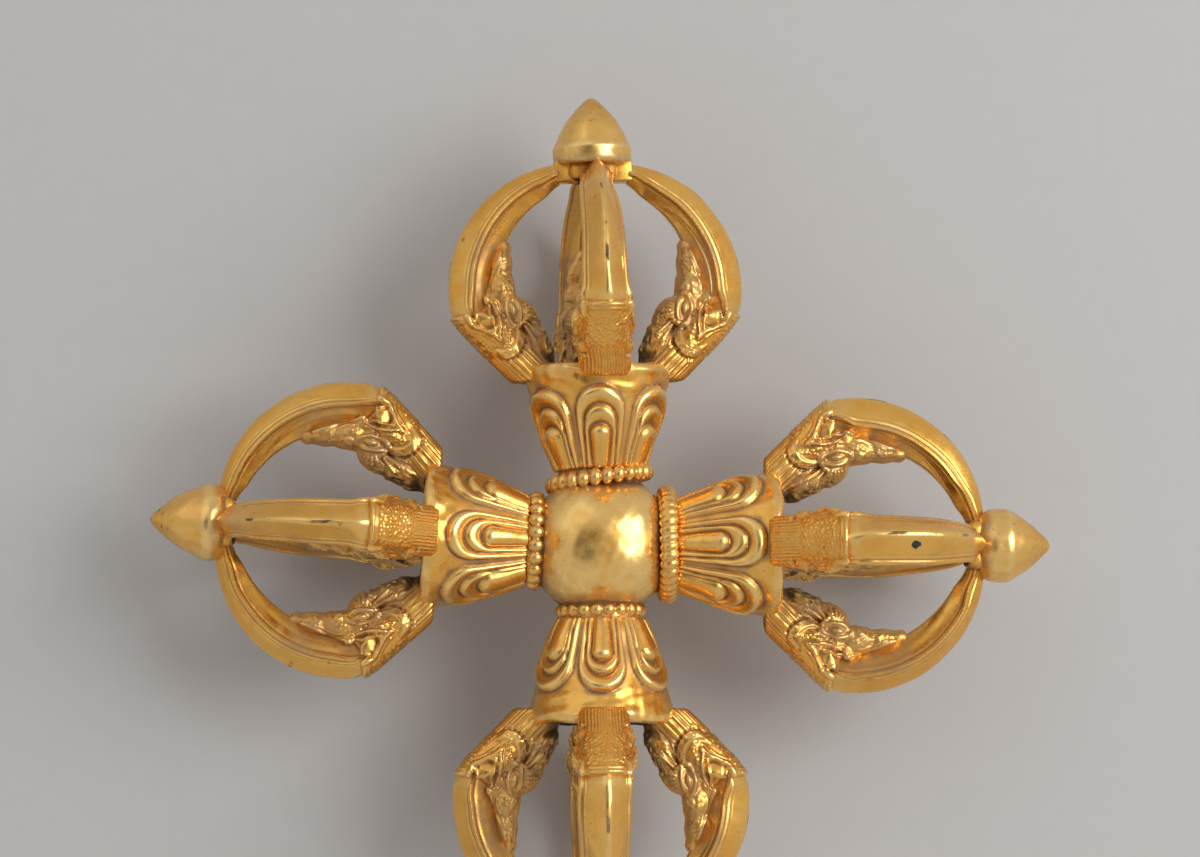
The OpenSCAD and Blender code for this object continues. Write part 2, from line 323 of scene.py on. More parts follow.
def arm_axes(arm):
    """The turn from an arm's own axes (along, across, up) to the object's."""
    turn = bpy.context.scene.vajra_sizes.arm_turn[ARMS.index(arm)]
    return np.array(Matrix.Rotation(turn, 3, "Z"))


def station_axes(arm, station):
    """The turn from a front prong's axes to those of a station of an arm."""
    twist = bpy.context.scene.vajra_sizes.prong_twist[ARMS.index(arm)]
    angle = twist - math.radians(90.0) * STATIONS.index(station)
    return arm_axes(arm) @ np.array(Matrix.Rotation(angle, 3, "X"))


def stand_piece(mesh, name, node, slot, axes):
    """Turn a mesh in millimetres to its place, and let it stand for a node."""
    set_points(mesh, points_of(mesh) @ axes.T * MM)
    mesh.materials.append(finish_of(slot))
    piece = bpy.data.objects.new(name, mesh)
    bpy.context.scene.collection.objects.link(piece)
    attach(piece, "root")
    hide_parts(node)


# ---- gilding

class NodeBench:
    """Lays out and links the nodes of one material."""

    def __init__(self, name):
        self.material = bpy.data.materials.new(name)
        self.material.use_nodes = True
        self.tree = self.material.node_tree
        self.shader = self.tree.nodes["Principled BSDF"]

    def add(self, kind, links=None, **settings):
        node = self.tree.nodes.new(kind)
        for key, value in settings.items():
            setattr(node, key, value)
        for socket, value in (links or {}).items():
            self.set(node.inputs[socket], value)
        return node

    def set(self, socket, value):
        if isinstance(value, bpy.types.NodeSocket):
            self.tree.links.new(value, socket)
        elif socket.type == "RGBA" and len(value) == 3:
            socket.default_value = (*value, 1.0)
        else:
            socket.default_value = value

    def marked(self, attribute):
        """What was marked on the mesh, or 0 where nothing was."""
        return self.add("ShaderNodeAttribute", attribute_name=attribute).outputs["Fac"]

    def noise(self, where, scale, detail=3.0, rough=0.55):
        return self.add("ShaderNodeTexNoise", {
            "Vector": where, "Scale": scale, "Detail": detail, "Roughness": rough}).outputs["Fac"]

    def ramp(self, value, low, high, to_low=0.0, to_high=1.0):
        return self.add("ShaderNodeMapRange", {
            "Value": value, "From Min": low, "From Max": high, "To Min": to_low, "To Max": to_high},
            interpolation_type="SMOOTHSTEP").outputs["Result"]

    def reckon(self, operation, a, b):
        return self.add("ShaderNodeMath", {0: a, 1: b}, operation=operation).outputs[0]

    def times(self, a, b):
        return self.reckon("MULTIPLY", a, b)

    def plus(self, a, b):
        return self.reckon("ADD", a, b)

    def most(self, first, *others):
        for other in others:
            first = self.reckon("MAXIMUM", first, other)
        return first

    def mix(self, share, a, b):
        return self.add("ShaderNodeMix", {"Factor": share, 6: a, 7: b}, data_type="RGBA").outputs[2]

    def give(self, name, value):
        self.set(self.shader.inputs[name], value)


# How fine the gilding's patterns are, in waves to the metre.
CLOUD_SCALE, BOLE_SCALE, FILM_SCALE, MOTTLE_SCALE, SPECK_SCALE = 90.0, 230.0, 260.0, 420.0, 1500.0

# Each slot's share of grime, haze and pits, its added roughness and its grain.
FINISHES = {"polished_gilding": (0.7, 0.16, 0.5, 0.0, 0.09),
            "chased_gilding": (0.85, 0.22, 0.6, 0.01, 0.07),
            "dark_gilding": (1.0, 0.9, 1.0, 0.2, 0.6)}


def gilding(name, grime, haze, pits, roughness, grain):
    """Fire gilding over chased metal: worn on the edges, brown in the hollows."""
    tones = bpy.context.scene.vajra_gilding
    bench = NodeBench(name)
    where = bench.add("ShaderNodeTexCoord").outputs["Object"]
    hollow, edge, soot = bench.marked("hollow"), bench.marked("edge"), bench.marked("soot")
    patchy = bench.ramp(bench.noise(where, FILM_SCALE, 4.0, 0.6), 0.34, 0.62, 0.25, 1.0)
    film = bench.times(bench.marked("film"), patchy)
    cloud = bench.noise(where, CLOUD_SCALE, 4.0)
    mottle = bench.noise(where, MOTTLE_SCALE, 4.0, 0.6)
    speck = bench.noise(where, SPECK_SCALE, 2.0)

    def mottled(value, amount):
        return bench.plus(value, bench.times(mottle, amount))

    colour = bench.mix(bench.ramp(cloud, 0.36, 0.64), tones.gold, tones.deep_gold)
    colour = bench.mix(bench.times(edge, 0.8), colour, tones.bare_brass)
    dull = bench.times(bench.ramp(mottle, 0.42, 0.8), haze)
    by_hollow = bench.ramp(mottled(hollow, 0.35), 0.28, 0.7)
    dull = bench.most(dull, film, bench.times(by_hollow, 0.6))
    colour = bench.mix(dull, colour, tones.haze)
    dirt = bench.times(bench.ramp(mottled(hollow, 0.6), 0.85, 1.4), grime)
    colour = bench.mix(dirt, colour, tones.grime)
    bole = bench.ramp(bench.noise(where, BOLE_SCALE, 5.0, 0.65), 0.66, 0.72)
    colour = bench.mix(bench.times(bole, 0.8), colour, tones.red)
    pit = bench.times(bench.ramp(speck, 0.69, 0.76), pits)
    colour = bench.mix(pit, colour, tones.grime)
    # Blackened metal, and painted shade on the prongs' faces turned in towards the arm's axis.
    shade_and_soot_share = bench.ramp(mottled(soot, 0.4), 0.5, 0.95)
    colour = bench.mix(shade_and_soot_share, colour, tones.soot)
    corroded = bench.ramp(mottled(bench.marked("verdigris"), 0.7), 0.8, 0.95)
    colour = bench.mix(corroded, colour, tones.green)
    bench.give("Base Color", colour)

    # Dirt, pits, soot, verdigris and the painted shade are all dull and rough.
    dirt_and_shade = bench.most(dirt, pit, shade_and_soot_share, corroded)
    hidden = bench.most(dirt_and_shade, bench.times(dull, 0.45), bench.times(film, 0.75))
    bench.give("Metallic", bench.ramp(hidden, 0.0, 1.0, 0.92, 0.2))
    rough = bench.ramp(mottle, 0.3, 0.7, roughness - 0.05, roughness + 0.09)
    rough = bench.plus(bench.plus(rough, bench.times(dull, 0.22)), bench.times(dirt_and_shade, 0.35))
    bench.give("Roughness", rough)

    height = bench.plus(bench.times(mottle, 0.7), bench.times(speck, 0.3))
    height = bench.reckon("SUBTRACT", height, bench.times(pit, 0.5))
    bump = bench.add("ShaderNodeBump", {"Strength": grain, "Distance": 0.00035, "Height": height})
    bench.give("Normal", bump.outputs["Normal"])
    return bench.material


def finish_of(slot):
    """The gilding for one of the record's slots, made the first time it is asked for."""
    name = "fire_" + slot
    if name not in bpy.data.materials:
        grime, haze, pits, rougher, grain = FINISHES[slot]
        gilding(name, grime, haze, pits, bpy.context.scene.vajra_gilding.polish + rougher, grain)
    return bpy.data.materials[name]


# ---- makara prongs
# A prong is modelled in millimetres as the front one of an arm along +X: s is the
# distance from the hub along the arm, r the height above the arm and y across.

HEAD_S, HEAD_R = 34.63, 12.7                # foot of the head's axis, which leans by 45 degrees
BOW_S, BOW_RISE, BOW_R = 50.88, 3.8, 26.0   # centre and radius of the blade's outer edge
INNER_RISE, INNER_R = -2.61, 22.61          # height of the centre and radius of its inner edge
BLADE_MID_R = 22.6                          # radius of the blade's middle
ROOT_TURN = math.radians(110.0)             # where the blade starts round its bow
TIP_S, TIP_R, TAB_END = 72.8, 3.75, 77.1    # foot and height of the tip, and end of a squared one

# The neck and throat: radius, distance along the head's axis.
THROAT = ((0.0, 0.0), (4.6, 0.0), (5.0, 0.4), (5.1, 2.0), (5.2, 5.0), (5.6, 8.0), (6.0, 10.5),
          (6.05, 13.0), (5.85, 15.4), (5.5, 17.4), (5.25, 18.8), (5.05, 19.5), (4.6, 19.8), (0.0, 19.9))

# The rounded masses of the head: s, r, half length, half width, half depth, lean in degrees.
MASSES = (
    (40.2, 12.6, 5.2, 4.5, 2.9, 44.0),      # nape
    (42.4, 12.7, 5.0, 4.3, 2.3, 34.0),      # back leaves of the mane
    (46.0, 14.9, 4.2, 4.4, 2.9, 34.0),      # front leaf
    (46.6, 17.4, 4.6, 5.0, 3.4, 42.0),      # eye and brow
    (43.6, 19.4, 5.0, 5.2, 3.6, 55.0),      # cheek
    (50.9, 17.6, 2.0, 3.2, 1.6, 15.0),      # bump behind the nose
    (47.6, 20.9, 4.2, 4.7, 2.0, 22.0),      # upper lip
    (45.2, 22.4, 3.3, 4.0, 2.8, 48.0),      # tongue and teeth
    (50.8, 19.2, 5.0, 4.5, 3.1, -6.0),      # root of the snout
    (55.2, 19.0, 5.2, 3.6, 2.4, -7.0),      # bridge of the snout
    (59.7, 18.3, 1.8, 1.9, 1.6, 0.0))       # knob of the nose

# The knobs chased on a head's side: centre, half length, half width, lean, height.
EYE, EYE_LEAN = (46.6, 17.2), 0.15
KNOBS = (
    ((48.8, 22.7), 1.15, 0.8, -0.9, 1.0),       # roll at the corner of the mouth
    ((48.3, 24.0), 0.45, 0.4, 0.0, -0.9),       # pit beside it
    (EYE, 3.0, 2.0, EYE_LEAN, -0.3),            # socket of the eye
    ((47.0, 17.35), 1.5, 0.65, EYE_LEAN, 0.6),  # ball of the eye
    ((51.2, 17.4), 1.3, 0.95, 0.3, 0.5))        # bump behind the nose

# The raised lines: path, half width, height.
LINES = (
    (((44.7, 24.9), (46.8, 24.6), (47.6, 23.2)), 0.4, 0.5),     # tooth
    (((44.8, 14.7), (44.0, 15.9), (43.6, 17.2)), 0.55, 0.6),    # brow
    # The snout's two lines.
    (((49.8, 21.9), (51.6, 21.8), (53.4, 21.2), (55.2, 20.2), (58.6, 19.0)), 0.36, 0.5),
    (((50.6, 20.9), (52.2, 20.8), (54.6, 19.8), (57.6, 18.9)), 0.26, 0.25))
# These meet at the corner of the jaw, where only the highest counts.
JAW_LINES = (
    (((40.8, 19.9), (42.0, 21.2), (43.0, 23.4), (43.7, 25.2), (45.8, 26.4)), 0.72, 0.65),
    (((40.7, 21.5), (41.9, 23.2), (42.7, 25.2)), 0.3, 0.25),
    (((41.4, 20.1), (43.8, 19.9), (45.8, 20.3), (48.4, 21.4)), 0.42, 0.65),
    (((42.6, 20.9), (45.2, 21.2), (48.2, 22.3)), 0.36, 0.55))

# How far each blade was set askew by hand, in degrees about its own length.
ASKEW = {("east", "front"): 16.0, ("east", "left"): -15.0, ("east", "right"): -13.0,
         ("north", "left"): 3.0, ("north", "right"): 8.0, ("west", "front"): 4.0, ("west", "left"): 7.0,
         ("south", "front"): 8.0, ("south", "left"): -9.0, ("south", "right"): -11.0}
# How far a front prong stands off its place, along and across its arm.
SLIDE = {("east", "front"): (1.2, 0.0), ("north", "front"): (0.0, 1.1)}
# How much of their width the blades of an arm keep.
SLIM = {"east": 1.0, "north": 0.86, "west": 0.86, "south": 1.0}


def head_axes(s, r):
    """How far points lie along the head's axis, and how far inward of it."""
    ds, dr = s - HEAD_S, r - HEAD_R
    return (ds + dr) * math.sqrt(0.5), (ds - dr) * math.sqrt(0.5)


def lump(bm, s, r, half_long, half_wide, half_deep, lean):
    """A rounded mass of the head, with its long side leaning up from the arm."""
    place = Matrix.Translation((s, 0.0, r)) @ Matrix.Rotation(math.radians(-lean), 4, "Y")
    place = place @ Matrix.Diagonal((half_long, half_wide, half_deep, 1.0))
    bmesh.ops.create_uvsphere(bm, u_segments=40, v_segments=28, radius=1.0, matrix=place)


def throat(bm):
    """The neck and throat, turned about the head's axis and flattened a little."""
    rim = [bm.verts.new((radius, 0.0, run)) for radius, run in THROAT]
    edges = [bm.edges.new(pair) for pair in zip(rim[:-1], rim[1:])]
    bmesh.ops.spin(bm, geom=rim + edges, cent=(0, 0, 0), axis=(0, 0, 1), dvec=(0, 0, 0),
                   angle=math.tau, steps=72, use_merge=True, use_duplicate=False)
    bmesh.ops.remove_doubles(bm, verts=bm.verts, dist=1e-4)
    for vert in bm.verts:
        outer_flat = np.interp(vert.co.z, (0.0, 5.0, 12.0, 19.8), (0.9, 0.86, 0.72, 0.80))
        vert.co.x *= 0.83 if vert.co.x > 0.0 else outer_flat
        lip = 0.72 * min(max(vert.co.x + 4.1, 0.0), 5.0) * smooth_step(8.0, 18.5, vert.co.z)
        foot = min(max(-2.6 - vert.co.x, -3.0), 1.7) * smooth_step(6.0, 0.0, vert.co.z)
        vert.co.z += foot - lip
    place = Matrix.Translation((HEAD_S, 0.0, HEAD_R)) @ Matrix.Rotation(math.radians(45.0), 4, "Y")
    bmesh.ops.transform(bm, matrix=place @ Matrix.Translation((-0.15, 0, 0)), verts=bm.verts)


def head_shape():
    """The masses of the head, melted into one skin of even grain."""
    bm = bmesh.new()
    throat(bm)
    for mass in MASSES:
        lump(bm, *mass)
    bmesh.ops.recalc_face_normals(bm, faces=bm.faces)
    rough = bpy.data.meshes.new("head_masses")
    bm.to_mesh(rough)
    bm.free()

    holder = bpy.data.objects.new("head_masses", rough)
    bpy.context.scene.collection.objects.link(holder)
    melt = holder.modifiers.new("melt", "REMESH")
    melt.mode = "VOXEL"
    melt.voxel_size = bpy.context.scene.vajra_sizes.head_voxel / MM
    melted = holder.evaluated_get(bpy.context.evaluated_depsgraph_get())
    skin = bpy.data.meshes.new_from_object(melted)
    bpy.data.objects.remove(holder)
    bpy.data.meshes.remove(rough)
    set_points(skin, smoothed(skin, points_of(skin), 7))
    return skin


def side_carving(s, r):
    """Height of the chasing on the side of a head."""
    outer = np.hypot(s - 40.8, r - 18.9)
    inner = np.hypot(s - 41.7, r - 19.6)
    crescent = smooth_step(3.95, 3.65, outer) * smooth_step(2.85, 3.2, inner)
    crescent *= smooth_step(61.6, 60.8, s + r) * smooth_step(-3.8, -2.4, head_axes(s, r)[1])
    height = 0.5 * crescent - 0.3 * hump(outer - 4.15, 0.35) * (s + r < 61.2)

    cheek = smooth_step(2.75, 2.15, inner) * smooth_step(20.3, 19.7, r)
    band = smooth_step(0.75, 0.45, np.abs(r - 19.05 - 0.1 * (s - 44.0))) * smooth_step(47.6, 47.0, s)
    height += 0.3 * np.maximum(cheek, band) * dots(s, r, 0.92, 0.36, 3)

    wedge = 0.94 * (s - 42.6) - 0.5 * np.abs(r - 22.6 - 0.12 * (s - 43.0))
    mouth = smooth_step(-0.15, 0.55, wedge) * smooth_step(2.7, 1.9, np.abs(r - 22.9))
    height -= 0.75 * mouth * smooth_step(48.6, 47.8, s)
    ds, dr = s - 45.7, r - 23.3
    up, across = 0.9 * ds + 0.43 * dr, 0.9 * dr - 0.43 * ds
    height += 0.75 * smooth_step(2.25, 0.45, np.maximum(np.abs(across) + 0.45 * up, -up))

    for line in LINES:
        height += stroke(s, r, *line)
    height += np.maximum.reduce([stroke(s, r, *line) for line in JAW_LINES])
    for boss in KNOBS:
        height += knob(s, r, *boss)
    height += oval_ring(s, r, EYE, 2.8, 1.3, EYE_LEAN, 0.5, 0.7)
    height += mane_carving(s, r)
    nose = between((48.9, 49.6), (58.4, 57.8), s) * smooth_step(20.7, 20.3, r + 0.17 * (s - 50.0))
    return height + 0.14 * nose * dots(s + 0.3 * r, r, 0.85, 0.33, 8)


def mane_carving(s, r):
    """Height of the leaves of the mane, which fan out from the eye."""
    gap = np.hypot(s - 46.8, r - 17.2)
    turn = np.degrees(np.arctan2(r - 17.2, s - 46.8))
    front_leaf = between((-121.0, -115.0), (-50.0, -58.0), turn) * smooth_step(2.3, 2.9, gap)
    back_leaf = between((-166.0, -160.0), (-121.0, -126.0), turn) * smooth_step(3.0, 3.8, gap)
    height = -stroke(s, r, ((43.1, 10.2), (44.0, 12.8), (44.8, 14.7)), 0.36, 0.5)
    for leaf, first, pitch, tall in ((front_leaf, -118.0, 15.0, 0.7), (back_leaf, -164.0, 12.0, 0.75)):
        fold = (turn - first) / pitch % 1.0
        height += tall * leaf * (fold ** 0.8 * smooth_step(1.0, 0.8, fold) - 0.4)
    height += 0.05 * np.maximum(front_leaf, back_leaf) * np.sin(gap * math.tau / 0.55)
    hatch = smooth_step(1.3, 0.7, np.hypot((s - 40.6) / 1.6, (r - 11.7) / 1.4))
    return height + 0.14 * hatch * np.sin((0.83 * s - 0.55 * r) * math.tau / 0.6)


def throat_carving(run, turn):
    """Height of the ribs, dots and lip lines round the neck and throat."""
    ribs = 18.0 * (turn + 0.17 * np.sin(2.0 * turn))
    neck_end = run + 0.9 * turn * turn
    lip = run + 2.9 * (1.0 - np.cos(turn))
    height = 0.3 * smooth_step(8.5, 7.8, neck_end) * (np.abs(np.cos(ribs)) - 0.62)
    dome = smooth_step(8.4, 9.0, neck_end) * smooth_step(17.9, 17.4, lip)
    height += 0.18 * dome * dots(run, 5.6 * turn, 1.0, 0.36, 21)
    return height + 0.2 * hump(lip - 19.3, 0.36) + 0.16 * hump(lip - 18.3, 0.36)


def carve_head(skin):
    """Push the chasing into the skin of the head."""
    points, normals = points_of(skin), normals_of(skin)
    s, y, r = points.T
    run, inward = head_axes(s, r)
    turn = np.arctan2(y, -inward)
    side = smooth_step(0.3, 0.72, np.abs(normals[:, 1]))
    outer = smooth_step(1.75, 1.5, np.abs(turn)) * smooth_step(20.6, 20.0, run)
    neck = smooth_step(2.5, 2.2, np.abs(turn)) * smooth_step(6.0, 5.2, run)
    planed = smooth_step(1.5, -0.5, inward) * between((7.0, 9.0), (17.0, 14.5), run)
    chased = np.minimum(side_carving(s, r), 0.8) - 0.45 * planed
    push = chased * side * smooth_step(3.5, 4.5, run) * smooth_step(-3.8, -2.2, inward)
    push += throat_carving(run, turn) * np.maximum(outer * smooth_step(0.95, 0.7, side), neck)
    push += 0.05 * wander(points, 2.6, 4)
    inside = smooth_step(0.35, 0.8, -normals[:, 2]) * smooth_step(49.0, 46.0, s)
    push += inside * (0.22 * wander(points, 1.7, 5) + 0.1 * wander(points, 0.8, 6))
    set_points(skin, points + normals * push[:, None])


def blade_place(u, v, tip_turn):
    """The blade: u round its section, v from the root in the mouth to the tip."""
    blade_end, flat_end, side_end, flat_half = 0.98, 0.06, 0.46, 0.8
    angle = ROOT_TURN + (tip_turn - ROOT_TURN) * np.minimum(v / blade_end, 1.0)
    drop = BOW_RISE - INNER_RISE
    inner = -drop * np.sin(angle) + np.sqrt(INNER_R ** 2 - (drop * np.cos(angle)) ** 2)
    thick = BOW_R - inner
    half = (thick + 0.93) / 2.14

    # The section: a flat inner edge, then an inner and an outer facet on each side.
    around = 1.0 - np.abs(2.0 * u - 1.0)
    q_flat = np.clip(around / flat_end, 0.0, 1.0)
    q_in = np.clip((around - flat_end) / (side_end - flat_end), 0.0, 1.0)
    q_in = 1.0 - (1.0 - q_in) ** 1.5
    q_out = np.clip((around - side_end) / (1.0 - side_end), 0.0, 1.0) ** 1.5
    outside = around > side_end
    reach = half * (0.98 - 0.22 * smooth_step(0.22, 0.06, v))
    y = np.where(outside, half * (1.0 - q_out), flat_half * q_flat + (half - flat_half) * q_in)
    depth = np.where(outside, reach * (1.0 - q_out) ** 1.28, thick - (thick - reach) * q_in)

    # The bead and lines along the side, by their distance from it.
    gap = 1.4 * half * np.where(outside, q_out, q_in - 1.0)
    lift = (0.32 * hump(gap, 0.75) - 0.12 * hump(gap - 0.95, 0.3) + 0.13 * hump(gap - 1.3, 0.26)
            - 0.07 * hump(gap - 1.65, 0.25) - 0.12 * hump(gap + 1.0, 0.45)) * smooth_step(1.0, 0.86, v)
    y = y + 0.72 * lift
    depth = depth + np.where(outside, -0.7, 0.7) * lift * smooth_step(0.1, 0.6, np.abs(gap))
    depth = depth + 0.14 * smooth_step(0.5, 0.0, y) * outside

    # The root sinks into the mouth, and the tip closes.
    root = smooth_step(0.07, 0.015, v)
    y = y * (1.0 - 0.2 * root)
    depth = depth + (2.4 * root + 0.7 * smooth_step(0.12, 0.05, v)) * outside
    depth = depth * (1.0 - 0.16 * smooth_step(0.88, blade_end, v))
    closing = np.clip((v - blade_end) / (1.0 - blade_end), 0.0, 1.0)
    y = np.sign(u - 0.5) * y * (1.0 - closing)
    radius = BOW_R - depth - (0.5 * thick - depth) * closing
    return np.stack([BOW_S + radius * np.cos(angle), y, BOW_RISE + radius * np.sin(angle)], axis=1)


def set_askew(points, degrees, slim):
    """Turn the blade's section about its middle and slim it, and leave the head and the tip."""
    s, y, r = points.T
    away = np.hypot(s - BOW_S, r - BOW_RISE)
    turn = np.arctan2(r - BOW_RISE, s - BOW_S)
    free = smooth_step(18.8, 20.2, away) * smooth_step(46.0, 51.0, s) * smooth_step(8.5, 14.0, r)
    c, sine = np.cos(math.radians(degrees) * free), np.sin(math.radians(degrees) * free)
    y, rise = y * (1.0 + (slim - 1.0) * free), away - BLADE_MID_R
    y, rise = y * c + rise * sine, rise * c - y * sine
    away = np.minimum(BLADE_MID_R + rise, np.maximum(away, BOW_R - 0.1))
    return np.stack([BOW_S + away * np.cos(turn), y, BOW_RISE + away * np.sin(turn)], axis=1)


def tab_shape():
    """The squared end by which a north prong lies on its block."""
    bm = bmesh.new()
    rounded_box(bm, (TIP_S, TAB_END), TIP_R + 1.55, 4.6, 5.1, 0.5, 4)
    tab = mesh_from(bm, "tab")
    for name in ("hollow", "edge"):
        mark(tab, name, np.zeros(len(tab.vertices)))
    return tab


def set_by_hand(prong, arm, station):
    """Bend and set a prong a little off its pattern, and stain the one on the east front."""
    points = points_of(prong)
    seed = 100 + 4 * ARMS.index(arm) + STATIONS.index(station)
    free = between((34.0, 40.0), (75.0, 70.0), points[:, :1])
    bend = np.stack([wander(points, 14.0, seed + 100 * c) for c in range(3)], axis=1)
    bend[:, 2] = np.where(points[:, 2] > 26.0, -np.abs(bend[:, 2]), bend[:, 2])
    spots = set_askew(points, ASKEW.get((arm, station), 0.0), SLIM[arm]) + 0.12 * bend * free
    spots[:, :2] += free * SLIDE.get((arm, station), (0.0, 0.0))
    set_points(prong, spots)
    if (arm, station) == ("east", "front"):
        gap = np.hypot(spots[:, 0] - 60.4, spots[:, 1] + 1.5) + 0.45 * wander(spots, 1.6, 91)
        mark(prong, "verdigris", smooth_step(1.5, 0.2, gap) * (spots[:, 2] > 25.0))


def prong_shape(head, tabbed):
    """Head, blade and tip of one prong, in one mesh."""
    tip_turn = math.radians(7.5 if tabbed else 1.5)
    blade = bent_grid("blade", 92, 84, lambda u, v: blade_place(u, v, tip_turn))
    mark_hollows(blade, 6, 0.2)
    bm = bmesh.new()
    bm.from_mesh(head)
    for mesh in [blade] + ([tab_shape()] if tabbed else []):
        bm.from_mesh(mesh)
        bpy.data.meshes.remove(mesh)
    whole = bpy.data.meshes.new("prong")
    bm.to_mesh(whole)
    bm.free()
    whole.shade_smooth()

    points, normals = points_of(whole), normals_of(whole)
    s, y, r = points.T
    inward = head_axes(s, r)[1]
    on_blade = np.arange(len(points)) >= len(head.vertices)

    # Painted shade: faces turned in towards the arm's axis, shaded inside the cage, are blackened, most
    # near the head.
    shaded_inner_face = smooth_step(0.25, 0.9, -normals[:, 2]) * (0.18 + 0.4 * smooth_step(51.0, 43.0, s))
    # The back of the neck by the calyx: partly dark residue, partly painted shade in the gap there.
    neck_back_residue_and_shade = smooth_step(41.5, 37.0, s) * smooth_step(13.0, 9.5, r)
    away = np.hypot(s - BOW_S, r - BOW_RISE)
    ridge = smooth_step(24.5, 25.4, away) * smooth_step(0.6, 0.3, np.abs(y))
    ridge *= between((50.0, 53.0), (73.0, 70.0), s) * smooth_step(0.05, 0.4, wander(points, 7.0, 17))
    mark(whole, "soot", np.maximum.reduce([shaded_inner_face, 0.6 * neck_back_residue_and_shade, 0.62 * ridge]))

    under_snout = between((45.0, 47.0), (64.0, 59.0), s) * smooth_step(26.0, 23.5, r)
    mane = smooth_step(0.5, 3.0, inward) * smooth_step(50.0, 46.0, s)
    on_throat = smooth_step(-1.5, -3.5, inward)
    mark(whole, "film", np.where(on_blade, 0.62 * under_snout, np.maximum.reduce(
        [0.5 * under_snout, 0.62 * mane, 0.14 * on_throat])))
    return whole


# ---- lotus calyx

def arch_depth(run, across, top, half, spread):
    """Distance inside an arch with spreading sides and a round top."""
    across = across / spread
    return half - np.hypot(np.maximum(run - (top - half), 0.0), across)


def petal_carving(run, across, spread, tops, broad):
    """Height of one lotus petal: two rolled arches round a drop."""
    up = np.clip(run / tops[2], 0.0, 1.0)
    drop_half = (1.4 + 0.85 * up) * (1.0 + 2.8 * (broad - 1.0))
    outer = arch_depth(run, across, tops[0], 5.6, spread * broad)
    inner = arch_depth(run, across, tops[1], 3.5, spread ** 0.6 * broad)
    drop = arch_depth(run, across, tops[2], drop_half, 1.0)
    height = np.zeros(run.shape)
    rise = 0.7 + 0.68 * np.clip(run / tops[0], 0.0, 1.0)
    for edge, next_edge in ((outer, inner), (inner, drop)):
        share = np.clip(edge / np.maximum(edge - next_edge, 1e-6), 0.0, 1.0)
        roll = rise * np.sin(math.pi * share ** 0.75) ** 0.7 - 0.15 * np.exp(-(edge / 0.2) ** 2)
        height = np.where((edge > 0.0) & (next_edge <= 0.0), roll, height)
    full = np.clip(drop / drop_half, 0.0, 1.0)
    boss = (0.9 + 1.15 * up) * np.sqrt(full * (2.0 - full))
    return np.where(drop > 0.0, boss, height)


PETALS = (0.0, 55.0, 125.0, 180.0, 235.0, 305.0)    # where the petals stand round a calyx
# How far up the calyx a petal's outer arch, inner arch and drop reach.
PETAL_TOPS = {"east": (17.9, 14.3, 10.6), "north": (17.0, 13.2, 9.2), "west": (17.2, 13.6, 9.8),
              "south": (15.4, 12.0, 9.2)}


def calyx_shape(arm, seed):
    """A calyx: a turned bell with petals all round, cut back where the heads sit."""
    sizes = bpy.context.scene.vajra_sizes
    foot, end = sizes.calyx_s / MM, sizes.calyx_end / MM
    rim, twist = sizes.calyx_rim_r / MM, sizes.prong_twist[ARMS.index(arm)]
    bell, waist = rim - 0.7, sizes.calyx_neck_r / MM - 1.3
    flank = [(foot + 17.6 * t, waist + (bell - waist) * t ** 0.85) for t in np.linspace(0, 1, 24)]
    stations = [(foot, 5.0), (foot, waist - 0.3)] + flank + [
        (end - 1.5, rim - 0.25), (end - 0.6, rim - 0.4), (end - 0.15, rim - 0.75), (end, rim - 1.3),
        (end, 3.1)]
    steps = np.hypot(*np.diff(np.asarray(stations), axis=0).T)

    def place(u, v):
        s, r = along(v, stations)
        run = v * steps.sum() - steps[:2].sum()
        angle = u * math.tau
        spots = turned(s, r, -angle)
        gaps = (angle[:, None] - np.radians(PETALS) + math.pi) % math.tau - math.pi
        slot = np.abs(gaps).argmin(axis=1)
        off = np.take_along_axis(gaps, slot[:, None], axis=1)[:, 0]
        off = off + 0.05 * (chance(slot, 1.0, seed) - 0.5)
        reach = 1.0 + 0.06 * (chance(slot, 2.0, seed) - 0.5)
        tall = petal_carving(run / reach, off * r, np.clip(r / bell, 0.5, 1.1), PETAL_TOPS[arm],
                             np.where(slot % 3 == 0, 1.0, 1.13))
        tall = tall * between((-0.6, 0.2), (20.0, 18.5), run)
        tall = tall + 0.12 * wander(spots, 6.0, seed) * smooth_step(-0.5, 1.0, run)
        hammered = smooth_step(14.0, 16.5, run) * (s < end - 0.1)
        tall = tall + 0.14 * wander(spots, 3.2, seed + 9) * hammered
        rough = smooth_step(12.5, 10.5, r) * (s > end - 0.2)
        tall = tall + rough * (0.35 * wander(spots, 1.6, seed + 3) + 0.5 * wander(spots, 4.0, seed + 4))

        on_end = s > end - 0.05
        lobe = smooth_step(end - 5.0, end, s) * smooth_step(9.0, 12.0, r)
        wave = 0.45 * np.abs(np.sin(2.0 * (angle + twist))) + 0.22 * wander(spots, 5.0, seed + 7)
        s = s + lobe * wave + np.where(on_end, np.minimum(0.6 * tall, 0.9), -0.25 * tall)
        r = r + np.where(on_end, 0.0, 0.968 * tall)
        for k in range(4):
            height = r * np.cos(angle + twist - k * math.pi / 2.0)
            over = (s - HEAD_S) + (height - HEAD_R) - 1.2
            s = s - np.maximum(over, 0.0) * (height > 6.0)
        return turned(s, r, angle)

    mesh = bent_grid("calyx", 320, 112, place)
    mark_hollows(mesh, 12, 0.3)
    s, y, r = points_of(mesh).T
    mark(mesh, "soot", smooth_step(end - 1.6, end - 0.4, s) * smooth_step(14.0, 11.0, np.hypot(y, r)))
    return mesh


# ---- collars, hub, spindles, finials

# Each arm's collar: number of beads, share of the ring's and of a bead's radius, lean.
COLLARS = {"east": (38, 1.14, 1.2, 0.12), "north": (25, 1.05, 1.07, 1.2),
           "west": (21, 0.96, 0.95, 0.12), "south": (20, 0.88, 0.88, 0.12)}


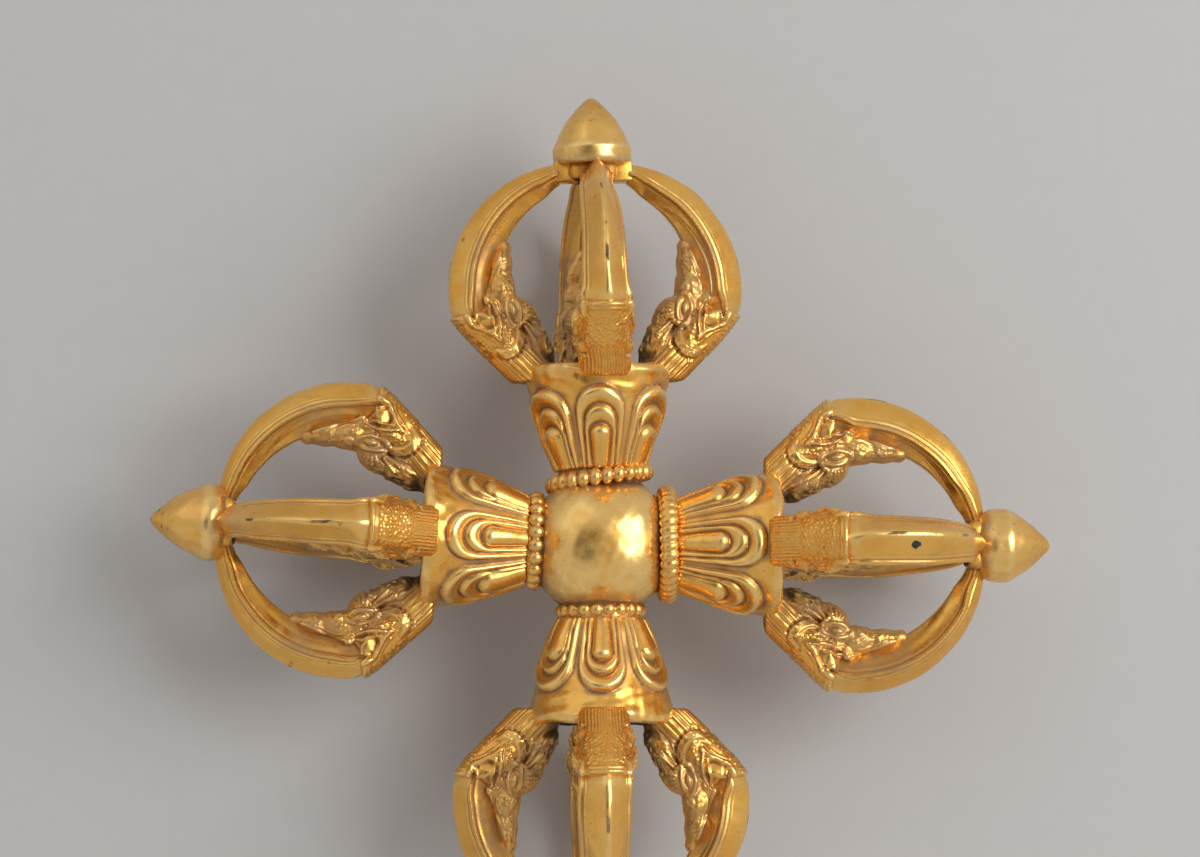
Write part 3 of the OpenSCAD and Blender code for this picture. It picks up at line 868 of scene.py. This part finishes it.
def collar_shape(arm, seed):
    """A ring of beads, or on the east arm of oblique rope strands."""
    sizes = bpy.context.scene.vajra_sizes
    beads, wider, swollen, lean = COLLARS[arm]
    ring, bead = wider * sizes.collar_r / MM, swollen * sizes.bead_r / MM
    rope = arm == "east"

    def place(u, v):
        angle, turn = u * math.tau, v * math.tau
        phase = u * beads + 1.1 * np.sin(turn) / math.tau * rope
        uneven = chance(np.floor(phase) % beads, 1, seed)
        if rope:
            tube = bead * (1.0 - 0.16 * np.abs(np.cos(math.pi * phase)) ** 4 - 0.05 * uneven)
        else:
            x = 2.0 * (phase - np.floor(phase)) - 1.0
            tube = bead * np.sqrt(np.clip(1.0 - 0.78 * x * x, 0.0, 1.0)) * (0.95 + 0.1 * uneven)
        s = sizes.collar_s / MM + lean * np.sin(angle) + 1.05 * tube * np.sin(turn)
        return turned(s, ring + 0.96 * tube * np.cos(turn), angle)

    mesh = bent_grid("collar", beads * (8 if rope else 10), 20, place)
    mark_hollows(mesh, 5, 0.45)
    mark(mesh, "film", np.full(len(mesh.vertices), 0.25))
    return mesh


def hub_shape():
    """The hub: a ball squared towards the arms, with old dents and a boss to each arm."""
    size = bpy.context.scene.vajra_sizes.hub_r / MM
    squareness, dents, boss_end = 2.3, 26, 15.3
    bm = bmesh.new()
    bmesh.ops.create_icosphere(bm, subdivisions=6, radius=1.0)
    mesh = mesh_from(bm, "hub")
    way = points_of(mesh)
    way /= np.linalg.norm(way, axis=1)[:, None]
    radius = size / (np.abs(way) ** squareness).sum(axis=1) ** (1.0 / squareness)
    radius += 0.06 * wander(way * size, 7.0, 31) + 0.03 * wander(way * size, 2.5, 32)
    rng = np.random.default_rng(12)
    for _ in range(dents):
        spot = rng.normal(size=3)
        spot /= np.linalg.norm(spot)
        gap = np.linalg.norm(way - spot, axis=1) * size / rng.uniform(0.4, 1.3)
        radius -= rng.uniform(0.03, 0.1) * np.exp(-gap * gap)
    for axis in range(2):
        near = smooth_step(8.2, 6.9, np.linalg.norm(np.delete(way, axis, 1), axis=1) * radius)
        radius += 0.9 * near * (boss_end / np.maximum(np.abs(way[:, axis]), 0.3) - radius)
    set_points(mesh, way * radius[:, None])
    mark_hollows(mesh, 8, 0.12)
    farthest = np.abs(points_of(mesh))[:, :2].max(axis=1)
    mark(mesh, "film", 0.9 * smooth_step(9.6, 11.6, farthest))
    return mesh


def spindle_shape(_arm, _seed):
    """A spindle: a rounded block that the prongs' tips lie on, and the rod behind it."""
    sizes = bpy.context.scene.vajra_sizes
    bm = bmesh.new()
    rounded_box(bm, (TIP_S, sizes.finial_s / MM), 0.0, 9.6, 9.6, 1.9, 6)
    low, high = sizes.calyx_end / MM, TIP_S + 0.5
    place = Matrix.Translation((0.5 * (low + high), 0.0, 0.0))
    bmesh.ops.create_cone(bm, cap_ends=True, segments=40, radius1=3.0, radius2=2.2, depth=high - low,
                          matrix=place @ Matrix.Rotation(math.pi / 2.0, 4, "Y"))
    mesh = mesh_from(bm, "spindle")
    behind = smooth_step(TIP_S + 1.2, TIP_S, points_of(mesh)[:, 0])
    for name, level in (("hollow", 0.3), ("edge", 0.0), ("soot", 0.9)):
        mark(mesh, name, level * behind)
    return mesh


# Each arm's finial: skirt, shoulder and bulge of the cone, by height over the foot and radius.
FINIALS = {
    "east": (((-1.4, 5.6), (-0.6, 6.5), (0.3, 7.1), (1.4, 7.4), (4.3, 7.5)), (5.0, 7.25), 0.5),
    "north": (((-0.7, 7.3), (0.0, 7.75), (1.2, 7.9)), (2.7, 8.0), 1.1),
    "west": (((-2.6, 5.0), (-1.9, 6.2), (-1.0, 7.1), (0.0, 7.65), (0.7, 7.85), (1.4, 7.9)),
             (2.2, 7.75), 0.9),
    "south": (((-1.4, 5.6), (-0.7, 6.6), (0.1, 7.4), (0.8, 7.8), (1.4, 7.9)), (2.2, 7.8), 0.9)}
FINIAL_R = 7.9      # the radius that these are drawn for


def finial_shape(arm, seed):
    """A finial: a skirt under a rounded cone with a blunt point, its own on each arm."""
    sizes = bpy.context.scene.vajra_sizes
    foot, tall = sizes.finial_s / MM, sizes.finial_len / MM
    skirt, (low, wide), bulge = FINIALS[arm]
    flank = []
    for t in np.linspace(0.0, 1.0, 22):
        r = wide + (1.25 - wide) * t + bulge * math.sin(math.pi * t ** 1.3) * (1.0 - 0.25 * t)
        flank.append((low + (tall - low - 0.5) * t, r))
    profile = [(skirt[0][0], 0.01), *skirt, *flank, (tall - 0.15, 0.75), (tall, 0.01)]
    scale = sizes.finial_r / MM / FINIAL_R
    stations = rounded([(foot + s, r * scale) for s, r in profile], 1.4)

    def place(u, v):
        s, r = along(v, stations)
        angle = u * math.tau
        spots = turned(s, r, -angle)
        uneven = 0.07 * wander(spots, 5.0, seed) + 0.025 * wander(spots, 1.8, seed + 1)
        return turned(s, r + uneven * smooth_step(0.3, 3.0, r) - 0.05, angle)

    mesh = bent_grid("finial", 96, 90, place)
    mark_hollows(mesh, 8, 0.12)
    points = points_of(mesh)
    tip = smooth_step(foot + 6.0, foot + 11.0, points[:, 0])
    mark(mesh, "soot", 0.6 * tip * smooth_step(0.5, 0.95, wander(points, 1.6, seed + 2)))
    mark(mesh, "film", np.maximum(0.6 * smooth_step(foot + 1.5, foot, points[:, 0]), 0.3 * tip))
    return mesh


# ---- operators

def stand_on_arms(shape, first_seed, name, node, slot):
    """Make a piece for each arm, with a seed of its own."""
    for seed, arm in enumerate(ARMS, first_seed):
        stand_piece(shape(arm, seed), name + arm, node + arm, slot, arm_axes(arm))


class VAJRA_OT_hub(bpy.types.Operator):
    """Make the hub where the four arms cross"""
    bl_idname = "vajra.hub"
    bl_label = "Hub"

    def execute(self, context):
        stand_piece(hub_shape(), "gilt_hub", "hub", "polished_gilding", np.eye(3))
        return {"FINISHED"}


class VAJRA_OT_collars(bpy.types.Operator):
    """Make the four beaded collars"""
    bl_idname = "vajra.collars"
    bl_label = "Beaded collars"

    def execute(self, context):
        stand_on_arms(collar_shape, 0, "beads_", "beaded_collar_", "polished_gilding")
        return {"FINISHED"}


class VAJRA_OT_calyxes(bpy.types.Operator):
    """Make the four lotus calyxes"""
    bl_idname = "vajra.calyxes"
    bl_label = "Lotus calyxes"

    def execute(self, context):
        stand_on_arms(calyx_shape, 40, "petals_", "lotus_calyx_", "chased_gilding")
        return {"FINISHED"}


class VAJRA_OT_spindles(bpy.types.Operator):
    """Make the four spindles: a gilded block at the prongs' tips on a blackened rod"""
    bl_idname = "vajra.spindles"
    bl_label = "Spindles"

    def execute(self, context):
        stand_on_arms(spindle_shape, 0, "rod_", "spindle_", "dark_gilding")
        return {"FINISHED"}


class VAJRA_OT_finials(bpy.types.Operator):
    """Make the four finials"""
    bl_idname = "vajra.finials"
    bl_label = "Finials"

    def execute(self, context):
        stand_on_arms(finial_shape, 60, "point_", "finial_", "polished_gilding")
        return {"FINISHED"}


class VAJRA_OT_prongs(bpy.types.Operator):
    """Make the sixteen prongs with their makara heads"""
    bl_idname = "vajra.prongs"
    bl_label = "Makara prongs"

    def execute(self, context):
        head = head_shape()
        carve_head(head)
        mark_hollows(head, 16, 0.3)
        patterns = {tabbed: prong_shape(head, tabbed) for tabbed in (True, False)}
        for arm in ARMS:
            for station in STATIONS:
                prong = patterns[arm == "north" and station in ("left", "right")].copy()
                set_by_hand(prong, arm, station)
                stand_piece(prong, "makara_%s_%s" % (arm, station), "prong_%s_%s" % (arm, station),
                            "chased_gilding", station_axes(arm, station))
        for mesh in (head, *patterns.values()):
            bpy.data.meshes.remove(mesh)
        return {"FINISHED"}


class VAJRA_OT_stage(bpy.types.Operator):
    """Set out the floor, the lamps and the camera"""
    bl_idname = "vajra.stage"
    bl_label = "Stage"

    def execute(self, context):
        scene, studio = context.scene, context.scene.vajra_studio
        bm = bmesh.new()
        bmesh.ops.create_grid(bm, x_segments=8, y_segments=8, size=2.0,
                              matrix=Matrix.Translation((0, 0, CAD_BOX[0][2])))
        floor = bpy.data.objects.new("floor", mesh_from(bm, "floor"))
        scene.collection.objects.link(floor)
        bench = NodeBench("studio_paper")
        where = bench.add("ShaderNodeTexCoord").outputs["Object"]
        weave = bench.ramp(bench.noise(where, 240.0, 3.0), 0.3, 0.7, 0.0, 0.06)
        bench.give("Base Color", bench.mix(weave, studio.floor, (0.40, 0.38, 0.37)))
        bench.give("Roughness", 0.9)
        floor.data.materials.append(bench.material)

        world = bpy.data.worlds.new("studio_room")
        world.use_nodes = True
        nodes, links = world.node_tree.nodes, world.node_tree.links
        near = nodes.new("ShaderNodeVectorMath")
        near.operation = "DOT_PRODUCT"
        near.inputs[1].default_value = (-0.28, -0.06, 0.96)
        links.new(nodes.new("ShaderNodeTexCoord").outputs["Generated"], near.inputs[0])
        shade = nodes.new("ShaderNodeValToRGB")
        shade.color_ramp.elements.new(0.7)
        for stop, place, colour in zip(shade.color_ramp.elements, (0.0, 0.90, 0.99),
                                       (studio.room, studio.room, studio.overhead)):
            stop.position, stop.color = place, (*colour, 1.0)
        links.new(near.outputs["Value"], shade.inputs["Fac"])
        links.new(shade.outputs["Color"], nodes["Background"].inputs["Color"])
        scene.world = world
        self.lamp(scene, "key_lamp", (0.75, 0.22, 0.85), (0.75, 0.75), studio.key_watts)
        self.lamp(scene, "fill_lamp", (-0.85, 0.9, 1.0), (1.6, 1.2), studio.fill_watts)

        camera = bpy.data.objects.new("camera", bpy.data.cameras.new("camera"))
        camera.data.sensor_width = 36.0
        camera.data.lens = 150.0
        turn = Euler((studio.tilt, studio.lean, 0.0))
        back = turn.to_matrix() @ Vector((0.0, 0.0, studio.distance))
        camera.location = Vector((-0.0002, studio.aim_y, 0.0)) + back
        camera.rotation_euler = turn
        scene.collection.objects.link(camera)
        scene.camera = camera
        scene.view_settings.view_transform = "Standard"
        return {"FINISHED"}

    def lamp(self, scene, name, place, size, watts):
        light = bpy.data.lights.new(name, "AREA")
        light.shape = "RECTANGLE"
        light.size, light.size_y = size
        light.energy = watts
        lamp = bpy.data.objects.new(name, light)
        aim = Vector(place).to_track_quat("Z", "Y").to_matrix().to_4x4()
        lamp.matrix_world = Matrix.Translation(place) @ aim
        scene.collection.objects.link(lamp)


class VAJRA_PT_pieces(bpy.types.Panel):
    """The vajra's pieces, in the order in which they are made"""
    bl_idname = "VAJRA_PT_pieces"
    bl_label = "Crossed vajra"
    bl_space_type = "VIEW_3D"
    bl_region_type = "UI"
    bl_category = "Vajra"

    def draw(self, context):
        for group in GROUPS:
            box = self.layout.box()
            settings = getattr(context.scene, group)
            for name in settings.bl_rna.properties.keys():
                if name not in {"rna_type", "name"}:
                    box.prop(settings, name)
        for operator in OPERATORS:
            self.layout.operator(operator.bl_idname)


OPERATORS = (VAJRA_OT_stage, VAJRA_OT_hub, VAJRA_OT_collars, VAJRA_OT_calyxes, VAJRA_OT_spindles,
             VAJRA_OT_finials, VAJRA_OT_prongs)
GROUPS = {"vajra_sizes": VajraSizes, "vajra_gilding": VajraGilding, "vajra_studio": VajraStudio}


def register():
    for name, group in GROUPS.items():
        bpy.utils.register_class(group)
        setattr(bpy.types.Scene, name, bpy.props.PointerProperty(type=group))
    for kind in OPERATORS + (VAJRA_PT_pieces,):
        bpy.utils.register_class(kind)


def unregister():
    for kind in reversed(OPERATORS + (VAJRA_PT_pieces,)):
        bpy.utils.unregister_class(kind)
    for name, group in GROUPS.items():
        delattr(bpy.types.Scene, name)
        bpy.utils.unregister_class(group)


def main():
    register()
    for operator in OPERATORS:
        getattr(bpy.ops.vajra, operator.bl_idname.split(".")[1])()


if __name__ == "__main__":
    main()
